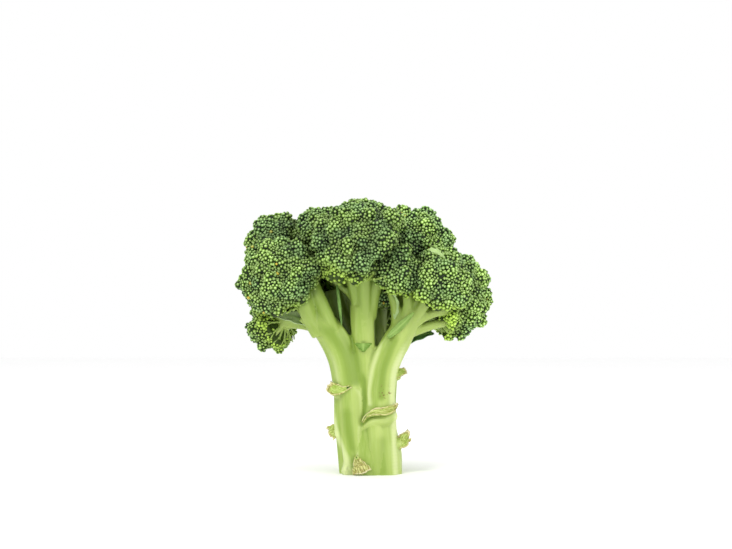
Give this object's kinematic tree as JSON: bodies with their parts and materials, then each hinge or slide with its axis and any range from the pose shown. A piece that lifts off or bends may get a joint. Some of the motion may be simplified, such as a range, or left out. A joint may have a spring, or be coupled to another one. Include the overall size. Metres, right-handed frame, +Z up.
{
  "type": "broccoli head",
  "caption": "Head of broccoli with domed green crowns on branching pale stems, trimmed leaf stubs and a flat cut stalk that it stands on.",
  "frame": {"origin": "middle of the stalk's flat cut end, on the surface that the head stands on", "axes": "+Z up along the stalk; -Y is the front, with the big middle crown hanging over it; +X to the right seen from the front"},
  "size_m": [0.1515, 0.1242, 0.1671],
  "materials": {
    "buds": "waxy, closely packed closed buds",
    "stem": "waxy satin, ribbed lengthwise",
    "stub": "fibrous, drying at the cut edges",
    "leaf": "waxy"
  },
  "bodies": {
    "root": {"stalk": "stem", "stem_back": "stem", "stem_back_left": "stem", "stem_back_left_top": "stem", "stem_back_low": "stem", "stem_back_right": "stem", "stem_back_right_top": "stem", "stem_front": "stem", "stem_front_small": "stem", "stem_inner_small": "stem", "stem_left_back": "stem", "stem_left_front": "stem", "stem_left_low": "stem", "stem_left_top": "stem", "stem_right": "stem", "stem_right_front": "stem", "stem_right_top": "stem", "stem_top": "stem", "stub_back": "stub", "stub_base": "stub", "stub_front": "stub", "stub_left_lower": "stub", "stub_left_upper": "stub", "stub_right_lower": "stub", "stub_right_upper": "stub", "leaf_bract": "leaf", "leaf_crown": "leaf", "leaf_fork": "leaf", "leaf_hanging": "leaf", "leaf_left": "leaf", "leaf_limb": "leaf", "leaf_right": "leaf", "crown_back": "buds", "crown_back_left": "buds", "crown_back_left_top": "buds", "crown_back_low": "buds", "crown_back_right": "buds", "crown_back_right_top": "buds", "crown_front": "buds", "crown_front_small": "buds", "crown_inner_small": "buds", "crown_left_back": "buds", "crown_left_front": "buds", "crown_left_low": "buds", "crown_left_top": "buds", "crown_right": "buds", "crown_right_front": "buds", "crown_right_top": "buds", "crown_top": "buds"}
  },
  "joints": []
}
